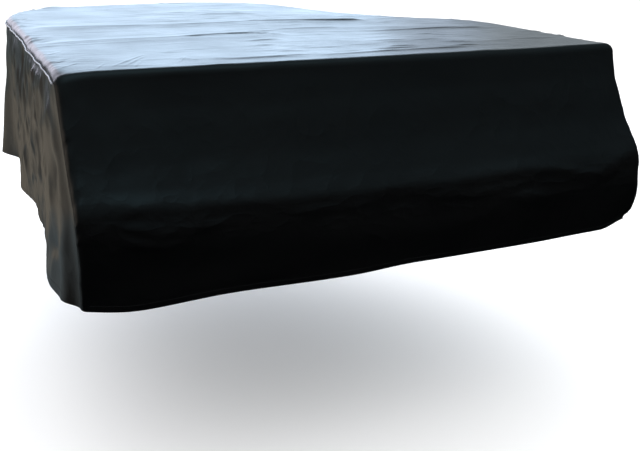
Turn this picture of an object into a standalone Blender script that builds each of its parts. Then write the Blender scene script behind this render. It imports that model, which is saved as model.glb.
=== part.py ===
"""A fitted cloth cover for a grand piano, in the shape in which it hangs over the closed instrument.

It is sewn from two cuts of cloth. One is the top panel and the front flap in one piece, which bends
down over the lid's front edge, runs out over the key block and drops to the hem. Along its other
edges it turns down round the rim of the lid. The other cut is the side skirt, one long strip that is
sewn to it from the front corner on the bass side, round the tail and the bent side, to the front
corner on the treble side. A narrow welt stands along the top seam between them.

+Y points from the keyboard to the tail, +X from the bass side to the treble side, and +Z is up.
The origin is on the underside of the top panel, where the cover rests on the piano's lid.
"""

import numpy as np

import bpy

# Driving sizes in metres
HALF_WIDTH = 0.766  # half the width across the keyboard end
FRONT_EDGE_Y = -0.766  # where the front flap hangs from the lid
CLOTH = 0.002  # thickness of the sheet
SEAM_GAP = 0.0003  # parting between two sewn pieces
BEND_RADIUS = 0.027  # soft bend of the cloth over the lid's front edge
BEND_SWEEP = 70.0  # degrees it turns through there, for the flap hangs forward of the edge
ROLL_RADIUS = 0.020  # how the cloth turns down round the rim, to its seam with the skirt
WELT_RADIUS = 0.0025
HEM_Z = -0.506  # mean height of the hem
CORNER_REACH = 0.45  # length of skirt that leans forward to meet the front flap
EDGE_FADE = 0.06  # folds of the top die out this near its rim

# How many strips each sheet is cut into
STRIPS_ACROSS = 28
STRIPS_ALONG = 32
STRIPS_IN_ROLL = 3
STRIPS_IN_BEND = 3
SPLINE_STEPS = 24
NUDGE = 0.0005  # step for measuring slopes

# Outline of the rim past the straight bass side: x, y, and which knots part the tail from the sides
OUTLINE = [
    (-0.764, 0.460, ""),
    (-0.740, 0.610, ""),
    (-0.660, 0.748, "tail bass corner"),
    (-0.510, 0.842, ""),
    (-0.280, 0.892, ""),
    (-0.060, 0.906, ""),
    (0.130, 0.852, ""),
    (0.270, 0.730, "tail treble corner"),
    (0.345, 0.550, ""),
    (0.405, 0.340, ""),
    (0.525, 0.145, ""),
    (0.672, 0.005, ""),
    (0.748, -0.110, ""),
    (0.766, -0.230, ""),
]

# Front flap in section, below the bend: y, z of its outer face
FLAP_SECTION = [
    (-0.7890, -0.075),
    (-0.8130, -0.120),
    (-0.8470, -0.184),
    (-0.8840, -0.233),
    (-0.9070, -0.262),
    (-0.9190, -0.296),
    (-0.9240, -0.354),
    (-0.9230, -0.410),
    (-0.9180, -0.460),
    (-0.9120, -0.506),
]
# Heights at which the flap has a row of its grid, below the bend
ROW_HEIGHTS = [-0.040, -0.080, -0.125, -0.175, -0.225, -0.262, -0.300, -0.365, -0.440, -0.506]

# Height of the front hem: x, z
FRONT_HEM = [
    (-0.760, -0.512),
    (-0.660, -0.515),
    (-0.420, -0.507),
    (-0.120, -0.511),
    (0.080, -0.502),
    (0.400, -0.500),
    (0.660, -0.498),
    (0.760, -0.486),
]
# How far the cloth sags between the arms of the key block: x, drop
KEY_SAG = [(-0.760, 0.000), (-0.300, 0.016), (0.250, 0.022), (0.600, 0.016), (0.760, 0.000)]
SAG_Z = -0.285
SAG_REACH = 0.110

# Rounding of the flap at its two lower corners, seen from above
ROUND_REACH = 0.130
BASS_ROUND_DEPTH = 0.030
TREBLE_ROUND_DEPTH = 0.024
BASS_ROUND_TOP_Z = -0.260
TREBLE_ROUND_TOP_Z = -0.370
ROUND_FULL_Z = -0.505
# Both lower corners lean out a little
BASS_LEAN = 0.004
TREBLE_LEAN = 0.008

# How far the skirt's hem stands out at its crests and valleys: metres along the seam, outward
HEM_SWING = [
    (0.000, 0.000),
    (0.065, 0.034),
    (0.150, 0.048),
    (0.430, 0.008),
    (0.550, 0.015),
    (0.680, 0.009),
    (0.900, 0.034),
    (1.070, 0.004),
    (1.270, 0.008),
    (1.385, 0.092),
    (1.590, 0.016),
    (1.760, 0.050),
    (1.930, 0.012),
    (2.100, 0.044),
    (2.280, 0.016),
    (2.470, 0.064),
    (2.660, 0.014),
    (2.810, 0.036),
    (2.960, 0.012),
    (3.130, 0.050),
    (3.290, 0.018),
    (3.450, 0.052),
    (3.620, 0.010),
    (3.780, 0.028),
    (3.920, 0.008),
    (4.050, 0.034),
    (4.150, 0.000),
]
SWING_POWER = 1.1  # how late down the drop the folds open
# Height of the skirt's hem between the two front corners: metres along the seam, z
SKIRT_HEM = [
    (0.150, -0.512),
    (0.700, -0.502),
    (1.000, -0.508),
    (1.370, -0.503),
    (1.750, -0.500),
    (2.550, -0.510),
    (3.100, -0.500),
    (3.450, -0.508),
    (3.750, -0.500),
    (4.050, -0.494),
]

# Broad folds of the top panel: x and y of both ends, height, half width
TOP_FOLDS = [
    (-0.70, 0.120, 0.38, 0.045, 0.0060, 0.050),
    (-0.70, -0.235, -0.05, -0.270, 0.0065, 0.050),
    (0.08, -0.120, 0.60, -0.235, 0.0060, 0.050),
    (-0.45, -0.610, -0.06, -0.680, 0.0050, 0.045),
    (-0.66, -0.730, -0.49, -0.500, 0.0060, 0.045),
    (0.28, -0.470, 0.46, -0.570, 0.0050, 0.045),
    (-0.30, 0.480, 0.10, 0.440, 0.0040, 0.055),
]
# Broad swells of the front flap: x, z, half length, half height, how far it stands out
FLAP_SWELLS = [
    (-0.58, -0.340, 0.16, 0.050, 0.007),
    (-0.45, -0.420, 0.20, 0.045, -0.006),
    (-0.50, -0.130, 0.14, 0.080, -0.006),
    (0.05, -0.400, 0.24, 0.050, 0.006),
    (0.30, -0.150, 0.26, 0.080, -0.006),
    (0.45, -0.345, 0.15, 0.040, 0.006),
]

MATERIALS = {
    # name: base colour, roughness
    "top_and_front": ((0.020, 0.022, 0.025), 0.42),
    "side_skirt": ((0.022, 0.022, 0.022), 0.46),
    "seam_welt": ((0.026, 0.026, 0.026), 0.50),
}


def eased(share):
    """Smooth step from 0 to 1, flat at both ends."""
    share = np.clip(share, 0.0, 1.0)
    return share * share * (3.0 - 2.0 * share)


def unit(vectors):
    """The same directions at length 1."""
    return vectors / np.linalg.norm(vectors, axis=-1)[..., None]


def along_table(table, at):
    """Reads a table of (place, value) rows, easing from each row to the next."""
    places = np.array([row[0] for row in table])
    values = np.array([row[1] for row in table])
    at = np.clip(at, places[0], places[-1])
    span = np.clip(np.searchsorted(places, at, side="right") - 1, 0, len(places) - 2)
    share = eased((at - places[span]) / (places[span + 1] - places[span]))
    return values[span] + (values[span + 1] - values[span]) * share


def spline_through(knots, before, after):
    """Catmull-Rom curve through the knots, with a phantom knot at either end."""
    points = np.array([before, *knots, after], float)
    t = np.linspace(0.0, 1.0, SPLINE_STEPS, endpoint=False)[:, None]
    spans = []
    for p0, p1, p2, p3 in zip(points, points[1:], points[2:], points[3:]):
        bend = (2 * p0 - 5 * p1 + 4 * p2 - p3) * t**2 + (3 * p1 - p0 - 3 * p2 + p3) * t**3
        spans.append(0.5 * (2 * p1 + (p2 - p0) * t + bend))
    return np.vstack([*spans, points[-2]])


def lengths_along(points):
    """Distance of each point of a polyline from its start."""
    steps = np.linalg.norm(np.diff(points, axis=0), axis=1)
    return np.concatenate([[0.0], np.cumsum(steps)])


def at_distances(points, distances):
    """Points of a polyline at the given distances along it."""
    run = lengths_along(points)
    return np.stack([np.interp(distances, run, axis) for axis in points.T], axis=-1)


def rim_line():
    """The rim seen from above, from the front bass corner to the front treble corner, and its tail corners."""
    knots = [(x, y) for x, y, _ in OUTLINE]
    curve = spline_through(knots, (-HALF_WIDTH, knots[0][1] - 0.2), (HALF_WIDTH, knots[-1][1] - 0.2))
    start_y = FRONT_EDGE_Y + BEND_RADIUS
    line = np.vstack([(-HALF_WIDTH, start_y), curve, (HALF_WIDTH, start_y)])
    run = lengths_along(line)
    corners = [run[1 + SPLINE_STEPS * n] for n, row in enumerate(OUTLINE) if row[2]]
    return line, corners


def rim_at(distances):
    """Points of the rim and its outward directions, at the given distances along it."""
    line, _ = rim_line()
    step = 0.004
    tangent = unit(at_distances(line, distances + step) - at_distances(line, distances - step))
    return at_distances(line, distances), np.stack([-tangent[..., 1], tangent[..., 0]], axis=-1)


def rim_stations(across, along):
    """Distances along the rim of the top panel's grid lines: bass side, tail and treble side."""
    line, (tail_bass, tail_treble) = rim_line()
    total = lengths_along(line)[-1]
    return tail_bass * along, tail_bass + (tail_treble - tail_bass) * across, total - (total - tail_treble) * along


def flap_section():
    """The flap's outer face in section, from the start of the bend to the hem, as one smooth line."""
    turn = np.radians(np.linspace(90.0, 90.0 + BEND_SWEEP, SPLINE_STEPS + 1))
    middle = np.array([FRONT_EDGE_Y + BEND_RADIUS, CLOTH - BEND_RADIUS])
    bend = middle + BEND_RADIUS * np.column_stack([np.cos(turn), np.sin(turn)])
    onward = np.array([-np.sin(turn[-1]), np.cos(turn[-1])])
    before = FLAP_SECTION[0] - 2 * np.linalg.norm(FLAP_SECTION[0] - bend[-1]) * onward
    last = FLAP_SECTION[-1]
    fall = spline_through([bend[-1], *FLAP_SECTION], before, (last[0] + 0.006, last[1] - 0.05))
    return np.vstack([bend[:-1], fall])


def flap_rows():
    """Distances down the flap's section of its grid rows, from the start of the bend to the hem."""
    line = flap_section()
    run = lengths_along(line)
    bend = np.linspace(0.0, run[SPLINE_STEPS], STRIPS_IN_BEND + 1)
    return np.concatenate([bend, np.interp(-np.array(ROW_HEIGHTS), -line[:, 1], run)])


def flap_face(across, down):
    """Outer face of the flap, for shares across it (bass to treble) and distances down its section."""
    section = at_distances(flap_section(), down)
    y, z = section[..., 0], section[..., 1]
    drop = np.clip(z / HEM_Z, 0.0, 1.0)
    half = HALF_WIDTH - ROLL_RADIUS
    bass = -half - BASS_LEAN * drop**2
    treble = half + TREBLE_LEAN * eased(drop / 0.6)
    x = bass + (treble - bass) * across
    z_hung = z - along_table(KEY_SAG, x) * np.exp(-(((z - SAG_Z) / SAG_REACH) ** 2))
    z_hung = z_hung + (along_table(FRONT_HEM, x) - HEM_Z) * drop**3
    to_edge = np.minimum(x - bass, treble - x)
    corner = np.clip(1.0 - to_edge / ROUND_REACH, 0.0, 1.0) ** 2
    bass_back = BASS_ROUND_DEPTH * eased((BASS_ROUND_TOP_Z - z) / (BASS_ROUND_TOP_Z - ROUND_FULL_Z))
    treble_back = TREBLE_ROUND_DEPTH * eased((TREBLE_ROUND_TOP_Z - z) / (TREBLE_ROUND_TOP_Z - ROUND_FULL_Z))
    y_hung = y + np.where(x < 0.0, bass_back, treble_back) * corner
    for place_x, place_z, half_x, half_z, out in FLAP_SWELLS:
        swell = np.exp(-(((x - place_x) / half_x) ** 2) - ((z - place_z) / half_z) ** 2)
        y_hung = y_hung - out * swell * eased(to_edge / EDGE_FADE)
    return np.stack([x, y_hung, z_hung], axis=-1)


def top_folds(x, y):
    """Height of the broad folds of the top at the given places."""
    height = np.zeros(np.shape(x))
    for x0, y0, x1, y1, rise, half in TOP_FOLDS:
        run = np.hypot(x1 - x0, y1 - y0)
        along = ((x - x0) * (x1 - x0) + (y - y0) * (y1 - y0)) / run
        aside = ((y - y0) * (x1 - x0) - (x - x0) * (y1 - y0)) / run
        ends = eased((along + half) / (2 * half)) * eased((run + half - along) / (2 * half))
        height += rise * ends * np.exp(-((aside / half) ** 2))
    return height


def top_face(across, along):
    """Outer face of the flat top: a patch spanned between its front edge, its two sides and its tail."""
    sides = []
    for distances in rim_stations(across, along):
        rim, outward = rim_at(distances)
        sides.append(rim - ROLL_RADIUS * outward)
    bass, tail, treble = sides
    front = bass[0] + (treble[0] - bass[0]) * across[:, None]
    u, v = across[:, None, None], along[None, :, None]
    patch = (1 - v) * front[:, None] + v * tail[:, None] + (1 - u) * bass[None] + u * treble[None]
    patch -= (1 - u) * ((1 - v) * front[0] + v * tail[0]) + u * ((1 - v) * front[-1] + v * tail[-1])
    x, y = patch[..., 0], patch[..., 1]
    to_side = np.minimum(u, 1 - u)[..., 0] * 2 * HALF_WIDTH
    to_end = np.minimum(v, 1 - v)[..., 0] * 2 * HALF_WIDTH
    calm = eased(to_side / EDGE_FADE) * eased(to_end / EDGE_FADE)
    return np.stack([x, y, CLOTH + top_folds(x, y) * calm], axis=-1)


def rolled_rim(base, facing, outward):
    """Rows of the cloth's turn round the rim, from the grid's border (left out) to the seam.

    Each row lies on an arc about the same centre, and its normal swings from the border's own normal
    to the outward direction. It returns the outer rows, the inner rows and the way on past the seam.
    """
    turn = np.arccos(np.clip((facing * outward).sum(axis=-1), -1.0, 1.0))[:, None]
    centre = base - ROLL_RADIUS * facing
    shares = np.arange(1, STRIPS_IN_ROLL + 1)[:, None, None] / STRIPS_IN_ROLL
    normals = (np.sin((1 - shares) * turn) * facing + np.sin(shares * turn) * outward) / np.sin(turn)
    onward = (outward * np.cos(turn) - facing) / np.sin(turn)
    return centre + ROLL_RADIUS * normals, centre + (ROLL_RADIUS - CLOTH) * normals, onward


def skirt_face(distances, shares, bass_edge, treble_edge):
    """Outer face of the skirt, for distances along the seam and shares down the drop.

    The columns next to the front corners lean forward to the flap's edge lines, which the first and
    the last column follow. Folds open towards the hem, along each column's outward direction.
    """
    line, _ = rim_line()
    total = lengths_along(line)[-1]
    rim, outward = rim_at(distances)
    near_bass = eased(1 - distances / CORNER_REACH)[:, None]
    near_treble = eased(1 - (total - distances) / CORNER_REACH)[:, None]
    seam_z = bass_edge[0, 2]
    z = seam_z + (along_table(SKIRT_HEM, distances)[:, None] - seam_z) * shares
    z = z * (1 - near_bass - near_treble) + near_bass * bass_edge[:, 2] + near_treble * treble_edge[:, 2]
    bass_lean = near_bass[..., None] * (bass_edge[:, :2] - bass_edge[0, :2])
    treble_lean = near_treble[..., None] * (treble_edge[:, :2] - treble_edge[0, :2])
    drop = np.clip((seam_z - z) / (seam_z - HEM_Z), 0.0, 1.0)
    swing = along_table(HEM_SWING, distances)[:, None] * drop**SWING_POWER
    plan = rim[:, None] + bass_lean + treble_lean + outward[:, None] * swing[..., None]
    return np.concatenate([plan, z[..., None]], axis=-1)


def material_for(name):
    """Principled finish of one piece."""
    color, roughness = MATERIALS[name]
    material = bpy.data.materials.new(name)
    material.use_nodes = True
    shader = material.node_tree.nodes["Principled BSDF"]
    shader.inputs["Base Color"].default_value = (*color, 1.0)
    shader.inputs["Roughness"].default_value = roughness
    shader.inputs["Metallic"].default_value = 0.0
    material.diffuse_color = (*color, 1.0)
    return material


def finish_object(name, data):
    """Links a mesh or a curve as the named piece."""
    piece = bpy.data.objects.new(name, data)
    bpy.context.scene.collection.objects.link(piece)
    data.materials.append(material_for(name))
    return piece


def grid_faces(wide, deep, flat_corners=()):
    """Cells of a grid whose points are numbered down each column.

    A flat corner is one whose two edges run on in one line. Its cell is parted along the diagonal that
    ends in that corner.
    """
    faces = []
    for i in range(wide - 1):
        for j in range(deep - 1):
            start = i * deep + j
            cell = [start, start + deep, start + deep + 1, start + 1]
            flat = [n for n, point in enumerate(cell) if point in flat_corners]
            if flat:
                a, b, c, d = cell[flat[0] :] + cell[: flat[0]]
                faces += [(a, b, c), (a, c, d)]
            else:
                faces.append(tuple(cell))
    return faces


def closed_sheet(name, outer, inner, faces):
    """A sheet of cloth as one closed body, from its two faces with the same cells."""
    layer = len(outer)
    edges = {(a, b) for face in faces for a, b in zip(face, face[1:] + face[:1])}
    rim = [(b, a, a + layer, b + layer) for a, b in sorted(edges) if (b, a) not in edges]
    back = [tuple(point + layer for point in reversed(face)) for face in faces]
    mesh = bpy.data.meshes.new(name)
    mesh.from_pydata(np.vstack([outer, inner]).tolist(), [], faces + back + rim)
    mesh.update()
    mesh.shade_smooth()
    mesh.set_sharp_from_angle(angle=np.radians(50.0))
    return finish_object(name, mesh)


def make_top_and_front(across, along):
    """The top panel and the front flap, one cut of cloth. It returns the two lines the skirt's ends follow."""
    rows = flap_rows()
    sides, downs = np.meshgrid(across, rows, indexing="ij")
    flap = flap_face(sides, downs)
    run_across = flap_face(sides + NUDGE, downs) - flap_face(sides - NUDGE, downs)
    run_up = flap_face(sides, downs - NUDGE) - flap_face(sides, downs + NUDGE)
    facing = unit(np.cross(run_across, run_up))
    facing[:, 0] = (0.0, 0.0, 1.0)
    top = top_face(across, along)
    outer = np.concatenate([flap[:, ::-1], top[:, 1:]], axis=1)
    upright = np.zeros_like(top) + (0.0, 0.0, 1.0)
    normals = np.concatenate([facing[:, ::-1], upright[:, 1:]], axis=1)
    wide, deep = outer.shape[:2]
    loop = list(range(deep))
    loop += [i * deep + deep - 1 for i in range(1, wide)]
    loop += [(wide - 1) * deep + j for j in range(deep - 2, -1, -1)]
    stations = rim_stations(across, along)
    _, rim_out = rim_at(np.concatenate([stations[0], stations[1][1:-1], stations[2][::-1]]))
    flap_depth = len(rows) - 1
    bass_out = np.tile((-1.0, 0.0), (flap_depth, 1))
    outward = np.vstack([bass_out, rim_out, -bass_out])
    outward = np.column_stack([outward, np.zeros(len(outward))])
    points = outer.reshape(-1, 3)
    roll_outer, roll_inner, onward = rolled_rim(points[loop], normals.reshape(-1, 3)[loop], outward)
    faces = grid_faces(wide, deep, (deep - 1, wide * deep - 1))
    previous = loop
    for row in range(STRIPS_IN_ROLL):
        ring = [wide * deep + row * len(loop) + n for n in range(len(loop))]
        for n in range(len(loop) - 1):
            faces.append((previous[n], previous[n + 1], ring[n + 1], ring[n]))
        previous = ring
    inner = (outer - CLOTH * normals).reshape(-1, 3)
    closed_sheet(
        "top_and_front",
        np.vstack([points, roll_outer.reshape(-1, 3)]),
        np.vstack([inner, roll_inner.reshape(-1, 3)]),
        faces,
    )
    seam = roll_outer[-1] + SEAM_GAP * onward
    return seam[: flap_depth + 1][::-1], seam[-flap_depth - 1 :]


def make_side_skirt(distances, bass_edge, treble_edge):
    """The skirt, one strip sewn round the bass side, the tail and the bent side."""
    shares = np.linspace(0.0, 1.0, len(bass_edge))
    outer = skirt_face(distances, shares, bass_edge, treble_edge)
    total = distances[-1]
    ahead = skirt_face(np.minimum(distances + NUDGE, total), shares, bass_edge, treble_edge)
    behind = skirt_face(np.maximum(distances - NUDGE, 0.0), shares, bass_edge, treble_edge)
    run = unit((ahead - behind)[..., :2])
    inward = np.stack([run[..., 1], -run[..., 0]], axis=-1)
    inward[:, 0] = -rim_at(distances)[1]
    inward[0] = (1.0, 0.0)
    inward[-1] = (-1.0, 0.0)
    inner = outer.copy()
    inner[..., :2] += CLOTH * inward
    closed_sheet("side_skirt", outer.reshape(-1, 3), inner.reshape(-1, 3), grid_faces(*outer.shape[:2]))


def make_seam_welt(distances):
    """The welt along the top seam, a thin round cord that stands just outside it."""
    rim, outward = rim_at(distances)
    centre = rim + outward * (WELT_RADIUS + SEAM_GAP)
    curve = bpy.data.curves.new("seam_welt", "CURVE")
    curve.dimensions = "3D"
    curve.bevel_depth = WELT_RADIUS
    curve.bevel_resolution = 1
    curve.use_fill_caps = True
    cord = curve.splines.new("POLY")
    cord.points.add(len(centre) - 1)
    for point, (x, y) in zip(cord.points, centre):
        point.co = (float(x), float(y), CLOTH - ROLL_RADIUS - SEAM_GAP / 2, 1.0)
    finish_object("seam_welt", curve)


def main():
    """Clears the scene and makes the three pieces."""
    for old in list(bpy.data.objects):
        bpy.data.objects.remove(old, do_unlink=True)
    across = np.linspace(0.0, 1.0, STRIPS_ACROSS + 1)
    along = np.linspace(0.0, 1.0, STRIPS_ALONG + 1)
    bass, tail, treble = rim_stations(across, along)
    distances = np.concatenate([bass, tail[1:-1], treble[::-1]])
    bass_edge, treble_edge = make_top_and_front(across, along)
    make_side_skirt(distances, bass_edge, treble_edge)
    make_seam_welt(distances)


main()
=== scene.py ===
"""Looks of a fitted grand piano cover of black proofed nylon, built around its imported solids.

The cloth hangs as the part's source has it: the sizes and the shape functions that both scripts share
are the same, worked out here on a fine grid. On that come the creases that the cloth kept from its
packing, the pulls and puckers of its seams, the turned hem, the stitches and the welt. All lengths are
in metres, in the part's own frame: +Y from the keyboard to the tail, +X from the bass side to the
treble side, +Z up, and z = 0 under the top panel.
"""

import bpy
import numpy as np
from mathutils import Matrix


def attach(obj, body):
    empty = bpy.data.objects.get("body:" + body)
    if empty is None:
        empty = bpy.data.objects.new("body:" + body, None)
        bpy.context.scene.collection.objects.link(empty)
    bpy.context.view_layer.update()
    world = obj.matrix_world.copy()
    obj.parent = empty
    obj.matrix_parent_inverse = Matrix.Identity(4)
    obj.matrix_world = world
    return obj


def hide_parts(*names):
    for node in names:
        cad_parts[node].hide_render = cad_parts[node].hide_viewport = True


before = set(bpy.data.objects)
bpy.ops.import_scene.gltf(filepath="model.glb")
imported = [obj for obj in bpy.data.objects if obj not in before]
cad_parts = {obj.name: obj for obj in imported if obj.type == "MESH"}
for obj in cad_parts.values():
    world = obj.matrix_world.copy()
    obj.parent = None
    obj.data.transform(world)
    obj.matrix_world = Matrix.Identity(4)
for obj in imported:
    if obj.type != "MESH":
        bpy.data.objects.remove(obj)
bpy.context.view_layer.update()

# Sizes that the part's source has too
HALF_WIDTH = 0.766
FRONT_EDGE_Y = -0.766
CLOTH = 0.002
SEAM_GAP = 0.0003
BEND_RADIUS = 0.027
BEND_SWEEP = 70.0
ROLL_RADIUS = 0.020
WELT_RADIUS = 0.0025
HEM_Z = -0.506
CORNER_REACH = 0.45
EDGE_FADE = 0.06
STRIPS_IN_BEND = 3
SPLINE_STEPS = 24
SEAM_Z = CLOTH - ROLL_RADIUS

# How finely the sheets are cut here
CELLS_ACROSS = 96
CELLS_ALONG = 350
CELLS_IN_ROLL = 5
CELL_DOWN = 0.0080  # longest cell down the flap
ACROSS_START = 0.45  # cells at the bass side are this share of the mean width, and wider towards the treble
ACROSS_POWER = 1.7
CELLS_IN_BEND_ROW = 4
CREASE_STEPS = 6

# The cloth itself
THICKNESS = 0.0009
HEM_DEPTH = 0.015
HEM_EXTRA = 0.0009  # the hem is turned, so it is twice as thick
HEM_STEP = 0.004  # how far the step at the top of the turned hem is spread
STITCH_INSET = 0.002  # from the top of the turned hem to its stitches
STITCH_PITCH = 0.0036
STITCH_LENGTH = 0.0029
THREAD_RADIUS = 0.00042

# Outline of the rim past the straight bass side: x, y, and which knots part the tail from the sides
OUTLINE = [
    (-0.764, 0.460, ""),
    (-0.740, 0.610, ""),
    (-0.660, 0.748, "tail bass corner"),
    (-0.510, 0.842, ""),
    (-0.280, 0.892, ""),
    (-0.060, 0.906, ""),
    (0.130, 0.852, ""),
    (0.270, 0.730, "tail treble corner"),
    (0.345, 0.550, ""),
    (0.405, 0.340, ""),
    (0.525, 0.145, ""),
    (0.672, 0.005, ""),
    (0.748, -0.110, ""),
    (0.766, -0.230, ""),
]

# Front flap in section, below the bend: y, z of its outer face
FLAP_SECTION = [
    (-0.7890, -0.075), (-0.8130, -0.120), (-0.8470, -0.184), (-0.8840, -0.233), (-0.9070, -0.262),
    (-0.9190, -0.296), (-0.9240, -0.354), (-0.9230, -0.410), (-0.9180, -0.460), (-0.9120, -0.506),
]
# Heights of the flap's rows in the source, below the bend
ROW_HEIGHTS = [-0.040, -0.080, -0.125, -0.175, -0.225, -0.262, -0.300, -0.365, -0.440, -0.506]

# Height of the front hem: x, z
FRONT_HEM = [
    (-0.760, -0.512), (-0.660, -0.515), (-0.420, -0.507), (-0.120, -0.511), (0.080, -0.502),
    (0.400, -0.500), (0.660, -0.498), (0.760, -0.486),
]
# How far the cloth sags between the arms of the key block: x, drop
KEY_SAG = [(-0.760, 0.000), (-0.300, 0.016), (0.250, 0.022), (0.600, 0.016), (0.760, 0.000)]
SAG_Z = -0.285
SAG_REACH = 0.110

# Rounding of the flap at its two lower corners, seen from above
ROUND_REACH = 0.130
BASS_ROUND_DEPTH = 0.030
TREBLE_ROUND_DEPTH = 0.024
BASS_ROUND_TOP_Z = -0.260
TREBLE_ROUND_TOP_Z = -0.370
ROUND_FULL_Z = -0.505
BASS_LEAN = 0.004
TREBLE_LEAN = 0.008

# How far the skirt's hem stands out at its crests and valleys: metres along the seam, outward
HEM_SWING = [
    (0.000, 0.000), (0.065, 0.034), (0.150, 0.048), (0.430, 0.008), (0.550, 0.015), (0.680, 0.009),
    (0.900, 0.034), (1.070, 0.004), (1.270, 0.008), (1.385, 0.092), (1.590, 0.016), (1.760, 0.050),
    (1.930, 0.012), (2.100, 0.044), (2.280, 0.016), (2.470, 0.064), (2.660, 0.014), (2.810, 0.036),
    (2.960, 0.012), (3.130, 0.050), (3.290, 0.018), (3.450, 0.052), (3.620, 0.010), (3.780, 0.028),
    (3.920, 0.008), (4.050, 0.034), (4.150, 0.000),
]
SWING_POWER = 1.1
# Height of the skirt's hem between the two front corners: metres along the seam, z
SKIRT_HEM = [
    (0.150, -0.512), (0.700, -0.502), (1.000, -0.508), (1.370, -0.503), (1.750, -0.500),
    (2.550, -0.510), (3.100, -0.500), (3.450, -0.508), (3.750, -0.500), (4.050, -0.494),
]

# Broad folds of the top panel, which lie flatter here than in the source, as its reflections in the
# photograph are: x and y of both ends, height, half width
TOP_FOLDS = [
    (-0.70, 0.120, 0.38, 0.045, 0.0032, 0.050),
    (-0.70, -0.235, -0.05, -0.270, 0.0034, 0.050),
    (0.08, -0.120, 0.60, -0.235, 0.0030, 0.050),
    (-0.45, -0.610, -0.06, -0.680, 0.0014, 0.045),
    (-0.66, -0.730, -0.49, -0.500, 0.0012, 0.045),
    (0.28, -0.470, 0.46, -0.570, 0.0018, 0.045),
    (-0.30, 0.480, 0.10, 0.440, 0.0022, 0.055),
]
# Broad swells of the front flap: x, z, half length, half height, how far it stands out
FLAP_SWELLS = [
    (-0.58, -0.340, 0.16, 0.050, 0.007),
    (-0.45, -0.420, 0.20, 0.045, -0.006),
    (-0.50, -0.130, 0.14, 0.080, -0.006),
    (0.05, -0.400, 0.24, 0.050, 0.006),
    (0.30, -0.150, 0.26, 0.080, -0.006),
    (0.45, -0.345, 0.15, 0.040, 0.006),
]

# Creases of the top panel: half width towards the keyboard and towards the tail, then x, y and rise
# of its knots
TOP_CREASES = [
    # The two long packing folds, and the third one near the front edge
    (0.007, 0.016, [
        (-0.715, 0.130, 0.0008), (-0.418, 0.093, 0.0013), (-0.154, 0.095, 0.0015), (-0.020, 0.100, 0.0030),
        (0.110, 0.080, 0.0046), (0.295, 0.041, 0.0052), (0.376, 0.038, 0.0016),
    ]),
    (0.006, 0.014, [
        (-0.737, -0.258, 0.0008), (-0.582, -0.235, 0.0012), (-0.422, -0.236, 0.0018), (-0.300, -0.226, 0.0044),
        (-0.200, -0.200, 0.0054), (-0.129, -0.206, 0.0050), (-0.080, -0.245, 0.0042), (-0.045, -0.290, 0.0030),
    ]),
    (0.006, 0.012, [
        (-0.382, -0.633, 0.0012), (-0.346, -0.673, 0.0020), (-0.249, -0.679, 0.0026), (-0.123, -0.671, 0.0018),
    ]),
    # The fold line on the treble side
    (0.007, 0.014, [
        (0.031, -0.215, 0.0010), (0.312, -0.248, 0.0018), (0.452, -0.256, 0.0036), (0.542, -0.260, 0.0030),
        (0.668, -0.282, 0.0012),
    ]),
    (0.006, 0.012, [
        (-0.124, -0.130, 0.0014), (-0.061, -0.162, 0.0022), (0.002, -0.129, 0.0020), (0.092, -0.131, 0.0018),
        (0.196, -0.148, 0.0012),
    ]),
    # The slanting line where the cloth was once folded the other way
    (0.008, 0.008, [(0.060, 0.556, 0.0010), (0.004, 0.170, 0.0016), (-0.038, -0.116, 0.0012)]),
    # Slack between the pulls of the front bass corner
    (0.012, 0.012, [(-0.640, -0.748, 0.0010), (-0.590, -0.642, 0.0016), (-0.514, -0.527, 0.0008)]),
    (0.005, 0.006, [(-0.459, -0.616, 0.0010), (-0.437, -0.640, 0.0018), (-0.417, -0.671, 0.0010)]),
    # Short ones on the bass half
    (0.005, 0.010, [(-0.201, -0.365, 0.0014), (-0.140, -0.361, 0.0028), (-0.083, -0.351, 0.0014)]),
    (0.005, 0.009, [(-0.212, -0.446, 0.0012), (-0.178, -0.459, 0.0020), (-0.140, -0.470, 0.0012)]),
    (0.005, 0.010, [(-0.199, -0.571, 0.0012), (-0.150, -0.590, 0.0022), (-0.095, -0.607, 0.0012)]),
    (0.005, 0.009, [(-0.164, -0.476, 0.0010), (-0.064, -0.519, 0.0014)]),
    (0.005, 0.009, [(-0.466, -0.470, 0.0010), (-0.436, -0.530, 0.0012)]),
    # Short ones on the treble half
    (0.005, 0.010, [(0.135, -0.470, 0.0012), (0.200, -0.480, 0.0022), (0.265, -0.486, 0.0010)]),
    (0.005, 0.009, [(0.130, -0.592, 0.0012), (0.180, -0.598, 0.0026), (0.232, -0.598, 0.0012)]),
    (0.005, 0.010, [(0.350, -0.345, 0.0012), (0.400, -0.388, 0.0024), (0.442, -0.424, 0.0012)]),
    (0.005, 0.009, [(0.332, -0.545, 0.0012), (0.374, -0.568, 0.0024), (0.414, -0.586, 0.0012)]),
    (0.005, 0.009, [(0.305, -0.640, 0.0014), (0.354, -0.634, 0.0030), (0.408, -0.636, 0.0014)]),
    (0.005, 0.008, [(0.495, -0.617, 0.0010), (0.488, -0.699, 0.0014)]),
    # Ridges along the front edge
    (0.006, 0.010, [
        (-0.101, -0.690, 0.0014), (0.035, -0.676, 0.0024), (0.205, -0.668, 0.0026), (0.333, -0.664, 0.0014),
    ]),
    (0.005, 0.009, [(0.070, -0.618, 0.0010), (0.150, -0.626, 0.0020), (0.228, -0.630, 0.0010)]),
    # Two by the tail
    (0.010, 0.014, [(-0.120, 0.520, 0.0010), (-0.055, 0.514, 0.0022), (0.000, 0.500, 0.0010)]),
    (0.010, 0.014, [(-0.121, 0.394, 0.0012), (0.000, 0.378, 0.0024), (0.117, 0.360, 0.0012)]),
]
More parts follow.
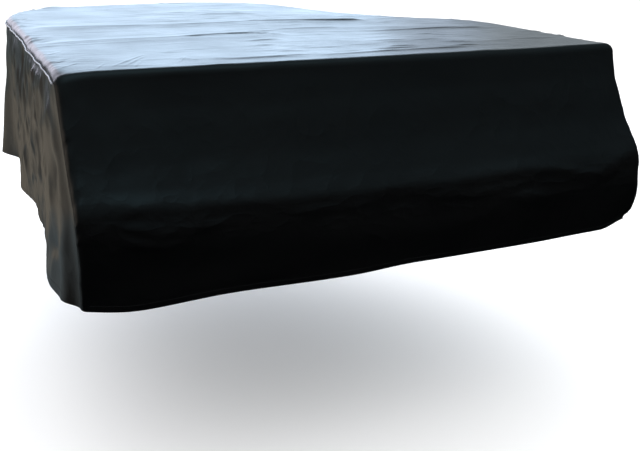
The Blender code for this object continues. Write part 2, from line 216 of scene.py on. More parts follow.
# Sharp pulls on the top, too fine for the grid: x and y of both ends, half width, rise
SHARP_PULLS = [
    (-0.640, -0.726, -0.504, -0.514, 0.0040, 0.0016),
    (-0.607, -0.716, -0.516, -0.551, 0.0035, 0.0014),
    (-0.583, -0.728, -0.552, -0.640, 0.0035, 0.0012),
    (-0.672, -0.730, -0.632, -0.640, 0.0035, 0.0010),
    (-0.470, -0.690, -0.428, -0.590, 0.0035, 0.0010),
    (-0.745, -0.690, -0.690, -0.610, 0.0045, 0.0016),
    (-0.748, -0.600, -0.688, -0.545, 0.0045, 0.0014),
    (-0.748, -0.470, -0.700, -0.400, 0.0050, 0.0014),
]
# Creases of the front flap: half width below and above it, then x, z and rise of its knots
FLAP_CREASES = [
    # The line where the cloth leaves the key block
    (0.014, 0.008, [
        (-0.720, -0.262, 0.0030), (-0.560, -0.276, 0.0056), (-0.300, -0.288, 0.0046), (0.015, -0.293, 0.0044),
        (0.212, -0.293, 0.0062), (0.392, -0.286, 0.0070), (0.491, -0.296, 0.0070), (0.595, -0.317, 0.0066),
        (0.650, -0.300, 0.0060), (0.717, -0.262, 0.0050),
    ]),
    (0.006, 0.007, [(-0.700, -0.300, 0.0020), (-0.643, -0.312, 0.0044), (-0.590, -0.308, 0.0022)]),
    (0.006, 0.008, [
        (-0.690, -0.334, 0.0026), (-0.634, -0.350, 0.0054), (-0.579, -0.362, 0.0044), (-0.505, -0.354, 0.0022),
    ]),
    (0.006, 0.007, [(-0.650, -0.326, 0.0018), (-0.588, -0.332, 0.0042), (-0.500, -0.337, 0.0020)]),
    (0.006, 0.007, [(-0.560, -0.318, 0.0016), (-0.480, -0.326, 0.0034), (-0.380, -0.330, 0.0014)]),
    (0.008, 0.008, [(-0.300, -0.318, 0.0014), (-0.180, -0.326, 0.0030), (-0.060, -0.322, 0.0014)]),
    (0.008, 0.008, [(0.100, -0.322, 0.0018), (0.230, -0.334, 0.0040), (0.400, -0.318, 0.0020)]),
    (0.008, 0.008, [(0.290, -0.340, 0.0018), (0.380, -0.356, 0.0034), (0.470, -0.372, 0.0016)]),
    (0.008, 0.010, [(0.610, -0.335, 0.0024), (0.680, -0.316, 0.0050), (0.738, -0.262, 0.0030)]),
    (0.008, 0.008, [(0.640, -0.370, 0.0018), (0.700, -0.352, 0.0036), (0.748, -0.310, 0.0020)]),
    # Pulls from the upper bass corner
    (0.012, 0.012, [(-0.730, -0.045, 0.0024), (-0.690, -0.130, 0.0034), (-0.668, -0.215, 0.0018)]),
    (0.014, 0.014, [(-0.640, -0.060, 0.0014), (-0.560, -0.150, 0.0024), (-0.520, -0.235, 0.0014)]),
    # Pulls from the upper treble corner
    (0.014, 0.014, [(0.735, -0.060, 0.0016), (0.690, -0.140, 0.0028), (0.640, -0.225, 0.0016)]),
    (0.016, 0.016, [(0.500, -0.070, 0.0010), (0.440, -0.160, 0.0020), (0.330, -0.240, 0.0010)]),
]

# Strewn creases: seed, how many, the low and the high corner of their region, the spread of their
# directions in radians, and the least and the most of their length, rise and half width.
# On the top, in x and y: all over it, and along the bass edge
TOP_STREWN = [
    (11, 420, (-0.78, -0.78), (0.78, 0.92), 0.14, (0.03, 0.17), (0.0003, 0.0015), (0.0035, 0.005)),
    (13, 110, (-0.775, -0.74), (-0.70, 0.66), 0.60, (0.02, 0.06), (0.0003, 0.0010), (0.004, 0.007)),
]
# On the flap, in x and z: all over it, and at its lower bass corner
FLAP_STREWN = [
    (21, 70, (-0.78, -0.50), (0.78, -0.04), 0.45, (0.05, 0.20), (0.0003, 0.0009), (0.006, 0.012)),
    (22, 34, (-0.74, -0.40), (-0.48, -0.27), 0.35, (0.02, 0.09), (0.0006, 0.0018), (0.004, 0.007)),
]
# On the skirt, in depth below the seam and distance along it: long slack folds, gathers below the
# seam, short creases every way, and the closer broad and fine folds of the straight bass side
SKIRT_STREWN = [
    (51, 120, (0.02, 0.0), (0.42, 4.15), 0.12, (0.12, 0.40), (0.0010, 0.0040), (0.008, 0.018)),
    (52, 160, (0.00, 0.0), (0.10, 4.15), 0.16, (0.03, 0.12), (0.0006, 0.0018), (0.003, 0.007)),
    (53, 120, (0.10, 0.0), (0.49, 4.15), 1.20, (0.04, 0.16), (0.0003, 0.0012), (0.004, 0.009)),
    (55, 200, (0.03, 0.05), (0.46, 1.20), 0.34, (0.04, 0.16), (0.0014, 0.0048), (0.007, 0.016)),
    (57, 130, (0.04, 0.20), (0.40, 1.15), 0.40, (0.05, 0.13), (0.0014, 0.0032), (0.004, 0.007)),
]

# Where the loose cloth has settled away from the solids: centre, reach and shift
SETTLINGS = [
    # The corner of the lid under the bass end of the front edge
    ((-0.785, -0.785, 0.004), (0.052, 0.052, 0.030), (0.002, 0.002, -0.020)),
    # The cloth stands off the lid's treble corner
    ((0.766, -0.735, -0.010), (0.060, 0.060, 0.050), (0.007, -0.002, 0.001)),
    # Slack at the two tail corners
    ((-0.755, 0.640, -0.300), (0.100, 0.170, 0.150), (-0.012, 0.004, 0.000)),
    ((-0.760, 0.640, -0.120), (0.100, 0.170, 0.070), (-0.011, 0.002, 0.000)),
    ((-0.585, 0.800, 0.000), (0.050, 0.060, 0.030), (0.000, 0.000, 0.007)),
    # The lower treble corner of the flap, full above and rounded off below, and the hem beside it
    ((0.775, -0.890, -0.430), (0.070, 0.070, 0.055), (0.018, 0.000, 0.000)),
    ((0.775, -0.890, -0.510), (0.070, 0.070, 0.040), (-0.010, 0.000, 0.005)),
    ((0.630, -0.910, -0.506), (0.160, 0.080, 0.040), (0.000, 0.000, 0.006)),
]

# The photograph's camera
CAMERA_PLACE = (-0.984, -2.708, 0.316)
CAMERA_YAW = 23.58  # degrees from +Y towards +X
CAMERA_PITCH = -19.23
CAMERA_ROLL = 0.61
CAMERA_LENS = 48.71
CAMERA_SENSOR = 36.0

FLOOR_Z = -1.028  # the piano that the cover belongs on stands about 1.03 m high
FLOOR_REACH = 30.0
ROOM_STRENGTH = 1.55
# Soft boxes of the studio: name, place, way they face, width, height, watts, colour. The windows behind
# the tail are what the top mirrors, and the low ones are what the bass side does.
TO_KEYBOARD, TO_TREBLE = (0.0, -1.0, 0.0), (1.0, 0.0, 0.0)
LIGHTS = [
    ("left_window", (-2.0, 4.6, 1.5), TO_KEYBOARD, 2.4, 3.0, 82.0, "#dfdff0"),
    ("back_window", (1.05, 4.6, 1.5), TO_KEYBOARD, 3.7, 3.0, 124.0, "#cfe7ff"),
    ("next_window", (3.40, 4.6, 1.5), TO_KEYBOARD, 1.0, 3.0, 18.0, "#d4e6fb"),
    ("third_window", (4.80, 4.6, 1.5), TO_KEYBOARD, 1.8, 3.0, 20.0, "#dce8f0"),
    ("window_sill", (1.20, 4.5, 0.2), TO_KEYBOARD, 3.6, 0.4, 4.5, "#cfe7ff"),
    ("low_light", (-3.3, 3.8, -1.30), TO_KEYBOARD, 3.6, 1.1, 7.2, "#f4e6cf"),
    ("teal_light", (-2.5, 3.8, -0.40), TO_KEYBOARD, 3.0, 0.6, 1.2, "#a8d4d4"),
    ("ground_light", (-2.7, 3.8, -2.40), TO_KEYBOARD, 3.8, 1.0, 3.6, "#c4dce6"),
    ("side_ground", (-4.5, 2.6, -2.2), TO_TREBLE, 3.4, 1.8, 12.0, "#c8d6da"),
    ("side_window", (-4.5, 1.0, 0.2), TO_TREBLE, 5.0, 2.2, 16.0, "#fff0de"),
]

# Values of the materials
WAVE_PITCH = 0.314  # a wave texture of scale 1 has its bands this far apart
WEAVE_PITCH = 0.0015  # the threads are 0.15 mm apart, but drawn wider so that the weave shows at all
PLY_PITCH = 0.0006
CRINKLE_Z = -0.335  # the line where the cloth leaves the key block
CRINKLE_REACH = 0.080
CRINKLE_DEPTH = 0.0017
TOP_CRUMPLE_DEPTH = 0.00035
FLAP_CRUMPLE_DEPTH = 0.0013
SKIRT_CRUMPLE_DEPTH = 0.0005
SMOOTH = {"interpolation_type": "SMOOTHSTEP"}
RIDGED = {"noise_type": "RIDGED_MULTIFRACTAL"}


def eased(share):
    """Smooth step from 0 to 1, flat at both ends."""
    share = np.clip(share, 0.0, 1.0)
    return share * share * (3.0 - 2.0 * share)


def unit(vectors):
    """The same directions at length 1."""
    return vectors / np.linalg.norm(vectors, axis=-1)[..., None]


def along_table(table, at):
    """Reads a table of (place, value) rows, easing from each row to the next."""
    places = np.array([row[0] for row in table])
    values = np.array([row[1] for row in table])
    at = np.clip(at, places[0], places[-1])
    span = np.clip(np.searchsorted(places, at, side="right") - 1, 0, len(places) - 2)
    share = eased((at - places[span]) / (places[span + 1] - places[span]))
    return values[span] + (values[span + 1] - values[span]) * share


def spline_through(knots, before, after, steps=SPLINE_STEPS):
    """Catmull-Rom curve through the knots, with a phantom knot at either end."""
    points = np.array([before, *knots, after], float)
    t = np.linspace(0.0, 1.0, steps, endpoint=False)[:, None]
    spans = []
    for p0, p1, p2, p3 in zip(points, points[1:], points[2:], points[3:]):
        bend = (2 * p0 - 5 * p1 + 4 * p2 - p3) * t**2 + (3 * p1 - p0 - 3 * p2 + p3) * t**3
        spans.append(0.5 * (2 * p1 + (p2 - p0) * t + bend))
    return np.vstack([*spans, points[-2]])


def lengths_along(points):
    """Distance of each point of a polyline from its start."""
    steps = np.linalg.norm(np.diff(points, axis=0), axis=1)
    return np.concatenate([[0.0], np.cumsum(steps)])


def at_distances(points, distances):
    """Points of a polyline at the given distances along it."""
    run = lengths_along(points)
    return np.stack([np.interp(distances, run, axis) for axis in points.T], axis=-1)


def rim_line():
    """The rim seen from above, from its front bass corner to its front treble one, and the tail's corners."""
    knots = [(x, y) for x, y, _ in OUTLINE]
    curve = spline_through(knots, (-HALF_WIDTH, knots[0][1] - 0.2), (HALF_WIDTH, knots[-1][1] - 0.2))
    start_y = FRONT_EDGE_Y + BEND_RADIUS
    line = np.vstack([(-HALF_WIDTH, start_y), curve, (HALF_WIDTH, start_y)])
    run = lengths_along(line)
    corners = [run[1 + SPLINE_STEPS * n] for n, row in enumerate(OUTLINE) if row[2]]
    return line, corners


def rim_at(distances):
    """Points of the rim and its outward directions, at the given distances along it."""
    line, _ = rim_line()
    step = 0.004
    tangent = unit(at_distances(line, distances + step) - at_distances(line, distances - step))
    return at_distances(line, distances), np.stack([-tangent[..., 1], tangent[..., 0]], axis=-1)


def rim_stations(across, along):
    """Distances along the rim of the top panel's grid lines: bass side, tail and treble side."""
    line, (tail_bass, tail_treble) = rim_line()
    total = lengths_along(line)[-1]
    tail = tail_bass + (tail_treble - tail_bass) * across
    return tail_bass * along, tail, total - (total - tail_treble) * along


def flap_section():
    """The flap's outer face in section, from the start of the bend to the hem, as one smooth line."""
    turn = np.radians(np.linspace(90.0, 90.0 + BEND_SWEEP, SPLINE_STEPS + 1))
    middle = np.array([FRONT_EDGE_Y + BEND_RADIUS, CLOTH - BEND_RADIUS])
    bend = middle + BEND_RADIUS * np.column_stack([np.cos(turn), np.sin(turn)])
    onward = np.array([-np.sin(turn[-1]), np.cos(turn[-1])])
    before = FLAP_SECTION[0] - 2 * np.linalg.norm(FLAP_SECTION[0] - bend[-1]) * onward
    last = FLAP_SECTION[-1]
    fall = spline_through([bend[-1], *FLAP_SECTION], before, (last[0] + 0.006, last[1] - 0.05))
    return np.vstack([bend[:-1], fall])


def flap_rows():
    """Distances down the flap's section of the source's grid rows, from the start of the bend to the hem."""
    line = flap_section()
    run = lengths_along(line)
    bend = np.linspace(0.0, run[SPLINE_STEPS], STRIPS_IN_BEND + 1)
    return np.concatenate([bend, np.interp(-np.array(ROW_HEIGHTS), -line[:, 1], run)])


def fine_shares(rows):
    """Shares of the way from the source's first row to its last, with each span cut into short cells."""
    cells = np.maximum(np.ceil(np.diff(rows) / CELL_DOWN), 1).astype(int)
    cells[:STRIPS_IN_BEND] = CELLS_IN_BEND_ROW
    starts = [n + np.arange(count) / count for n, count in enumerate(cells)]
    return np.concatenate([*starts, [len(cells)]]) / len(cells)


def flap_face(across, down):
    """Outer face of the flap, for shares across it (bass to treble) and distances down its section."""
    section = at_distances(flap_section(), down)
    y, z = section[..., 0], section[..., 1]
    drop = np.clip(z / HEM_Z, 0.0, 1.0)
    half = HALF_WIDTH - ROLL_RADIUS
    bass = -half - BASS_LEAN * drop**2
    treble = half + TREBLE_LEAN * eased(drop / 0.6)
    x = bass + (treble - bass) * across
    z_hung = z - along_table(KEY_SAG, x) * np.exp(-(((z - SAG_Z) / SAG_REACH) ** 2))
    z_hung = z_hung + (along_table(FRONT_HEM, x) - HEM_Z) * drop**3
    to_edge = np.minimum(x - bass, treble - x)
    corner = np.clip(1.0 - to_edge / ROUND_REACH, 0.0, 1.0) ** 2
    bass_back = BASS_ROUND_DEPTH * eased((BASS_ROUND_TOP_Z - z) / (BASS_ROUND_TOP_Z - ROUND_FULL_Z))
    treble_back = TREBLE_ROUND_DEPTH * eased((TREBLE_ROUND_TOP_Z - z) / (TREBLE_ROUND_TOP_Z - ROUND_FULL_Z))
    y_hung = y + np.where(x < 0.0, bass_back, treble_back) * corner
    for place_x, place_z, half_x, half_z, out in FLAP_SWELLS:
        swell = np.exp(-(((x - place_x) / half_x) ** 2) - ((z - place_z) / half_z) ** 2)
        y_hung = y_hung - out * swell * eased(to_edge / EDGE_FADE)
    return np.stack([x, y_hung, z_hung], axis=-1)


def top_folds(x, y):
    """Height of the broad folds of the top at the given places."""
    height = np.zeros(np.shape(x))
    for x0, y0, x1, y1, rise, half in TOP_FOLDS:
        run = np.hypot(x1 - x0, y1 - y0)
        along = ((x - x0) * (x1 - x0) + (y - y0) * (y1 - y0)) / run
        aside = ((y - y0) * (x1 - x0) - (x - x0) * (y1 - y0)) / run
        ends = eased((along + half) / (2 * half)) * eased((run + half - along) / (2 * half))
        height += rise * ends * np.exp(-((aside / half) ** 2))
    return height


def top_face(across, along):
    """Outer face of the flat top: a patch spanned between its front edge, its two sides and its tail."""
    sides = []
    for distances in rim_stations(across, along):
        rim, outward = rim_at(distances)
        sides.append(rim - ROLL_RADIUS * outward)
    bass, tail, treble = sides
    front = bass[0] + (treble[0] - bass[0]) * across[:, None]
    u, v = across[:, None, None], along[None, :, None]
    patch = (1 - v) * front[:, None] + v * tail[:, None] + (1 - u) * bass[None] + u * treble[None]
    patch -= (1 - u) * ((1 - v) * front[0] + v * tail[0]) + u * ((1 - v) * front[-1] + v * tail[-1])
    x, y = patch[..., 0], patch[..., 1]
    to_side = np.minimum(u, 1 - u)[..., 0] * 2 * HALF_WIDTH
    to_end = np.minimum(v, 1 - v)[..., 0] * 2 * HALF_WIDTH
    calm = eased(to_side / EDGE_FADE) * eased(to_end / EDGE_FADE)
    return np.stack([x, y, CLOTH + top_folds(x, y) * calm], axis=-1)


def rolled_rim(base, facing, outward):
    """Rows of the cloth's turn round the rim, from the grid's border (left out) to the seam.

    Each row lies on an arc about the same centre, and its normal swings from the border's own normal
    to the outward direction. It returns the rows and the way on past the seam.
    """
    turn = np.arccos(np.clip((facing * outward).sum(axis=-1), -1.0, 1.0))[:, None]
    shares = np.arange(1, CELLS_IN_ROLL + 1)[:, None, None] / CELLS_IN_ROLL
    normals = (np.sin((1 - shares) * turn) * facing + np.sin(shares * turn) * outward) / np.sin(turn)
    onward = (outward * np.cos(turn) - facing) / np.sin(turn)
    return base - ROLL_RADIUS * facing + ROLL_RADIUS * normals, onward


def skirt_face(distances, shares, bass_edge, treble_edge):
    """Outer face of the skirt, for distances along the seam and shares down the drop.

    The columns next to the front corners lean forward to the flap's edge lines, which the first and
    the last column follow. Folds open towards the hem, along each column's outward direction.
    """
    line, _ = rim_line()
    total = lengths_along(line)[-1]
    rim, outward = rim_at(distances)
    near_bass = eased(1 - distances / CORNER_REACH)[:, None]
    near_treble = eased(1 - (total - distances) / CORNER_REACH)[:, None]
    seam_z = bass_edge[0, 2]
    z = seam_z + (along_table(SKIRT_HEM, distances)[:, None] - seam_z) * shares
    z = z * (1 - near_bass - near_treble) + near_bass * bass_edge[:, 2] + near_treble * treble_edge[:, 2]
    bass_lean = near_bass[..., None] * (bass_edge[:, :2] - bass_edge[0, :2])
    treble_lean = near_treble[..., None] * (treble_edge[:, :2] - treble_edge[0, :2])
    drop = np.clip((seam_z - z) / (seam_z - HEM_Z), 0.0, 1.0)
    swing = along_table(HEM_SWING, distances)[:, None] * drop**SWING_POWER
    plan = rim[:, None] + bass_lean + treble_lean + outward[:, None] * swing[..., None]
    return np.concatenate([plan, z[..., None]], axis=-1)


def ridge(aside, half):
    """1 on the line and falling off to either side, as a tent with a rounded top."""
    return np.exp(1.0 - np.sqrt(1.0 + (aside / half) ** 2))


def placed_creases(places, table):
    """Height of the creases of a table at the given places: a ridge along a smooth line through the knots.

    Its height eases from knot to knot and dies out past both ends, and each side has its own half width.
    """
    height = np.zeros(len(places))
    for half_before, half_behind, knots in table:
        knots = np.array(knots)
        line = spline_through(knots, 2 * knots[0] - knots[1], 2 * knots[-1] - knots[-2], CREASE_STEPS)
        reach = 7 * max(half_before, half_behind)
        low, high = line[:, :2].min(axis=0) - reach, line[:, :2].max(axis=0) + reach
        near = np.nonzero(((places > low) & (places < high)).all(axis=1))[0]
        start, step = line[:-1, :2], np.diff(line[:, :2], axis=0)
        length = np.linalg.norm(step, axis=1)
        way = step / length[:, None]
        away = places[near][:, None] - start
        ahead = np.clip((away * way).sum(axis=-1), 0.0, length)
        offset = away - ahead[..., None] * way
        nearest = np.argmin((offset**2).sum(axis=-1), axis=1)
        rows = np.arange(len(near))
        offset, ahead = offset[rows, nearest], ahead[rows, nearest]
        side = way[nearest, 0] * offset[:, 1] - way[nearest, 1] * offset[:, 0]
        aside = np.hypot(offset[:, 0], offset[:, 1])
        along = lengths_along(line[:, :2])[nearest] + ahead
        rise = line[nearest, 2] + (line[nearest + 1, 2] - line[nearest, 2]) * ahead / length[nearest]
        fade = 2.5 * max(half_before, half_behind)
        ends = eased(along / fade) * eased((length.sum() - along) / fade)
        height[near] += rise * ends * ridge(aside, np.where(side < 0, half_before, half_behind))
    return height


def scattered_creases(places, seed, count, low, high, lean, lengths, rises, halves):
    """Height of short bowed creases strewn over a region, some raised and some sunk.

    Each is a tent across its line and a bell along it. Lean is how many radians their directions
    spread about the first axis, and the pairs are the least and the most of each size.
    """
    draw = np.random.default_rng(seed)
    centres = draw.uniform(low, high, (count, 2))
    turns = draw.normal(0.0, lean, count)
    reaches = draw.uniform(*lengths, count) / 2
    heights = draw.uniform(*rises, count) * draw.choice([1.0, 1.0, -0.8], count)
    widths = draw.uniform(*halves, count)
    bows = draw.normal(0.0, 0.6, count)
    height = np.zeros(len(places))
    for centre, turn, reach, rise, width, bow in zip(centres, turns, reaches, heights, widths, bows):
        away = places - centre
        along = away[:, 0] * np.cos(turn) + away[:, 1] * np.sin(turn)
        aside = away[:, 1] * np.cos(turn) - away[:, 0] * np.sin(turn) + bow * along**2
        height += rise * ridge(aside, width) * np.exp(-((along / reach) ** 2))
    return height


def lattice_noise(places, cell, seed):
    """Smooth noise from 0 to 1: random values on a lattice of the given cell, eased in between."""
    size = 64
    table = np.random.default_rng(seed).random((size, size))
    scaled = places / cell
    corner = np.floor(scaled).astype(int)
    u, v = eased(scaled - corner).T
    i, j = corner.T % size
    i_next, j_next = (i + 1) % size, (j + 1) % size
    lower = table[i, j] * (1 - u) + table[i_next, j] * u
    upper = table[i, j_next] * (1 - u) + table[i_next, j_next] * u
    return lower * (1 - v) + upper * v


def crumple(places, cell, seed):
    """Crumpling from 0 to 1, whose crests are thin lines: noise folded at its middle value, in two sizes."""
    broad = 1 - np.abs(2 * lattice_noise(places, np.array(cell), seed) - 1)
    fine = 1 - np.abs(2 * lattice_noise(places, np.array(cell) * 0.43, seed + 1) - 1)
    return (broad**2 + 0.4 * fine**2) / 1.4


def seam_drift(distances):
    """How far the top seam strays outward and upward, at distances along it: slow waves and short puckers."""
    line, _ = rim_line()
    total = lengths_along(line)[-1]
    calm = eased(distances / 0.08) * eased((total - distances) / 0.08)
    waves = np.column_stack([distances, np.zeros_like(distances)])
    outward = 0.0050 * (lattice_noise(waves, 0.110, 41) - 0.5)
    outward += 0.0030 * (lattice_noise(waves, 0.021, 42) - 0.5)
    upward = 0.0060 * (lattice_noise(waves, 0.140, 43) - 0.5)
    upward += 0.0036 * (lattice_noise(waves, 0.050, 44) - 0.5)
    return outward * calm, upward * calm


def settled(points):
    """The points after the settlings: each shifts what is near its centre, and fades as a bell."""
    moved = points.copy()
    for centre, reach, shift in SETTLINGS:
        away = (points - centre) / reach
        moved += np.exp(-(away**2).sum(axis=-1))[..., None] * np.array(shift)
    return moved


def vertex_normals(points, cells):
    """Normals of the points of a mesh of four-cornered cells, each weighted by the areas around it."""
    a, b, c, d = (points[cells[:, n]] for n in range(4))
    facing = np.cross(c - a, d - b)
    total = np.zeros_like(points)
    for n in range(4):
        np.add.at(total, cells[:, n], facing)
    return unit(total)


def grid_cells(wide, deep):
    """Cells of a grid whose points are numbered down each column."""
    start = (np.arange(wide - 1)[:, None] * deep + np.arange(deep - 1)).ravel()
    return np.column_stack([start, start + deep, start + deep + 1, start + 1])


def split_flat_corners(cells, corners):
    """Cells with a corner whose edges run on in one line, parted by the diagonal through that corner.

    A triangle is kept as a cell that names its last point twice.
    """
    kept = cells[~np.isin(cells, corners).any(axis=1)]
    parts = []
    for cell in cells[np.isin(cells, corners).any(axis=1)]:
        a, b, c, d = np.roll(cell, -int(np.nonzero(np.isin(cell, corners))[0][0]))
        parts += [(a, b, c, c), (a, c, d, d)]
    return np.vstack([kept, parts])


def border_edges(cells, count):
    """Directed edges that only one cell has."""
    edges = np.vstack([cells[:, [0, 1]], cells[:, [1, 2]], cells[:, [2, 3]], cells[:, [3, 0]]])
    edges = edges[edges[:, 0] != edges[:, 1]]
    forward = edges[:, 0] * count + edges[:, 1]
    backward = edges[:, 1] * count + edges[:, 0]
    return edges[~np.isin(forward, backward)]


def new_piece(name, points, faces, material, flat_places=None):
    """Links a mesh as a piece, smooth but for its sharp edges, with its flat places as a UV map in metres."""
    mesh = bpy.data.meshes.new(name)
    mesh.from_pydata(points.tolist(), [], faces)
    mesh.update()
    mesh.shade_smooth()
    mesh.set_sharp_from_angle(angle=np.radians(60.0))
    if flat_places is not None:
        corners = np.empty(len(mesh.loops), int)
        mesh.loops.foreach_get("vertex_index", corners)
        mesh.uv_layers.new(name="cloth").uv.foreach_set("vector", flat_places[corners].ravel())
    mesh.materials.append(material)
    piece = bpy.data.objects.new(name, mesh)
    bpy.context.scene.collection.objects.link(piece)
    return piece


def new_sheet(name, outer, cells, extra, flat_places, material):
    """A sheet of cloth as one closed body: its outer face, an inner face behind it, and the edges between."""
    count = len(outer)
    inner = outer - (THICKNESS + extra)[:, None] * vertex_normals(outer, cells)
    edges = border_edges(cells, count)
    edge_cells = np.column_stack([edges[:, 1], edges[:, 0], edges[:, 0] + count, edges[:, 1] + count])
    every = np.vstack([cells, cells[:, ::-1] + count, edge_cells])
    faces = [tuple(dict.fromkeys(cell)) for cell in every.tolist()]
    return new_piece(name, np.vstack([outer, inner]), faces, material, np.vstack([flat_places, flat_places]))


def top_and_front_sheet():
    """Points, cells and borders of the top panel and the front flap before their creases.

    It returns the outer points, the cells, how much of the roll each point has behind it (0 on the
    panel, 1 at the seam), the seam's distance next to each point, the hem's distance down the flap, the
    flat places, and the two lines that the skirt's ends follow.
    """
    across = np.linspace(0.0, 1.0, CELLS_ACROSS + 1)
    across = ACROSS_START * across + (1 - ACROSS_START) * across**ACROSS_POWER
    along = np.linspace(0.0, 1.0, CELLS_ALONG + 1)
    coarse = flap_rows()
    shares = fine_shares(coarse)
    rows = np.interp(shares, np.linspace(0.0, 1.0, len(coarse)), coarse)
    sides, downs = np.meshgrid(across, rows, indexing="ij")
    flap = flap_face(sides, downs)
    nudge = 0.0005
    run_across = flap_face(sides + nudge, downs) - flap_face(sides - nudge, downs)
    run_up = flap_face(sides, downs - nudge) - flap_face(sides, downs + nudge)
    facing = unit(np.cross(run_across, run_up))
    facing[:, 0] = (0.0, 0.0, 1.0)
    top = top_face(across, along)
    outer = np.concatenate([flap[:, ::-1], top[:, 1:]], axis=1)
    upright = np.zeros_like(top) + (0.0, 0.0, 1.0)
    normals = np.concatenate([facing[:, ::-1], upright[:, 1:]], axis=1)
    wide, deep = outer.shape[:2]
    loop = np.concatenate([
        np.arange(deep), np.arange(1, wide) * deep + deep - 1, (wide - 1) * deep + np.arange(deep - 2, -1, -1),
    ])
    bass, tail, treble = rim_stations(across, along)
    flap_depth = len(rows) - 1
    total = bass[0] + treble[0]
    seam_run = np.concatenate([
        -rows[:0:-1], bass, tail[1:-1], treble[::-1], total + rows[1:],
    ])
    _, rim_out = rim_at(np.concatenate([bass, tail[1:-1], treble[::-1]]))
    bass_out = np.tile((-1.0, 0.0), (flap_depth, 1))
    outward = np.vstack([bass_out, rim_out, -bass_out])
    outward = np.column_stack([outward, np.zeros(len(outward))])
    points = outer.reshape(-1, 3)
    roll, onward = rolled_rim(points[loop], normals.reshape(-1, 3)[loop], outward)
    rings = [loop] + [wide * deep + row * len(loop) + np.arange(len(loop)) for row in range(CELLS_IN_ROLL)]
    cells = split_flat_corners(grid_cells(wide, deep), [deep - 1, wide * deep - 1])
    strips = [
        np.column_stack([now[:-1], now[1:], later[1:], later[:-1]]) for now, later in zip(rings, rings[1:])
    ]
    on_roll = np.repeat(np.arange(1, CELLS_IN_ROLL + 1), len(loop))
    roll_share = np.concatenate([np.zeros(wide * deep), on_roll])
    run_near = np.concatenate([np.zeros(wide * deep), np.tile(seam_run, CELLS_IN_ROLL)])
    past_flap = np.cumsum(np.full(len(along) - 1, CELL_DOWN))
    hem_grid = np.concatenate([rows[-1] - rows[::-1], rows[-1] + past_flap])
    hem_near = np.tile(hem_grid, wide)
    hem_near = np.concatenate([hem_near, np.tile(hem_near[loop], CELLS_IN_ROLL)])
    down_grid = np.concatenate([FRONT_EDGE_Y + BEND_RADIUS - rows[::-1], np.zeros(len(along) - 1)])
    flat = points[:, :2].copy()
    on_flap = np.tile(np.arange(deep) <= flap_depth, wide)
    flat[on_flap, 1] = np.tile(down_grid, wide)[on_flap]
    roll_out = (np.arange(1, CELLS_IN_ROLL + 1) * np.pi / 2 * ROLL_RADIUS / CELLS_IN_ROLL)[:, None, None]
    flat = np.vstack([flat, (flat[loop] + roll_out * outward[:, :2]).reshape(-1, 2)])
    seam = roll[-1] + SEAM_GAP * onward
    return {
        "outer": np.vstack([points, roll.reshape(-1, 3)]),
        "cells": np.vstack([cells, *strips]),
        "roll_share": roll_share / CELLS_IN_ROLL,
        "seam_run": run_near,
        "hem": hem_near,
        "flat": flat,
        "rings": rings,
        "grid": (wide, deep),
        "shares": shares,
        "distances": seam_run[flap_depth : len(seam_run) - flap_depth],
        "bass_edge": seam[: flap_depth + 1][::-1],
        "treble_edge": seam[-flap_depth - 1 :],
    }


def top_and_front_relief(sheet):
    """How far each point of the top panel and the front flap stands out, for creases and crumpling."""
    outer = sheet["outer"]
    x, z = outer[:, 0], outer[:, 2]
    # The top's relief fades out over 20 mm of height below it, and the flap's sets in over 50 mm
    on_top = eased((z + 0.022) / 0.020)
    on_flap = eased((-0.012 - z) / 0.050)
    plan, front = outer[:, :2], outer[:, [0, 2]]
    strewn, by_edge = (scattered_creases(plan, *row) for row in TOP_STREWN)
    top = placed_creases(plan, TOP_CREASES)
    # The cloth is pulled smoother towards the bass side
    top += (0.55 + 0.45 * eased((x + 0.70) / 0.60)) * strewn
    top += by_edge
    top += 0.0006 * crumple(plan, (0.150, 0.062), 12) + 0.0020 * (lattice_noise(plan, 0.240, 14) - 0.5)
    flap = placed_creases(front, FLAP_CREASES)
    for row in FLAP_STREWN:
        flap += scattered_creases(front, *row)
    flap += 0.0006 * crumple(front, (0.160, 0.090), 23) + 0.0040 * (lattice_noise(front, 0.190, 25) - 0.5)
    return (top * on_top + flap * on_flap) * (1 - eased(sheet["roll_share"]))


def roll_puckers(sheet):
    """How far the turn round the rim is pinched in or puffed out, by short gathers across the seam."""
    waves = np.column_stack([sheet["seam_run"] + 0.030 * sheet["roll_share"], sheet["roll_share"] * 0.03])
    bulge = lattice_noise(waves, np.array([0.031, 0.05]), 31) - 0.5
    bulge += 0.6 * (lattice_noise(waves, np.array([0.013, 0.04]), 33) - 0.5)
    slow = lattice_noise(waves, np.array([0.110, 0.09]), 32)
    return 0.0056 * bulge * (0.05 + slow**3 * 2.4) * np.sin(np.pi * sheet["roll_share"] ** 0.8)


def bass_puckers(sheet):
    """How far slanting gathers puff out along the straight bass side, on its turn and the top beside it."""
    x, y, z = sheet["outer"].T
    share = sheet["roll_share"]
    start_y = FRONT_EDGE_Y + BEND_RADIUS
    inward = np.where(share > 0, -share * np.pi / 2 * ROLL_RADIUS, x + HALF_WIDTH - ROLL_RADIUS)
    run = np.where(share > 0, sheet["seam_run"], y - start_y)
    waves = np.column_stack([run - 0.9 * inward, inward])
    bulge = lattice_noise(waves, np.array([0.036, 0.060]), 34) - 0.5
    bulge += 0.5 * (lattice_noise(waves, np.array([0.015, 0.035]), 35) - 0.5)
    slow = eased(lattice_noise(waves, np.array([0.140, 0.2]), 36) * 1.5 - 0.3)
    fade = np.where(share > 0, 1 - share**2, np.exp(-((inward / 0.045) ** 2)))
    here = (x < -0.55) & (y > start_y) & (z > -0.03)
    ends = eased((y - start_y) / 0.05) * eased((0.55 - y) / 0.1)
    return 0.0050 * bulge * (0.25 + slow) * fade * ends * here


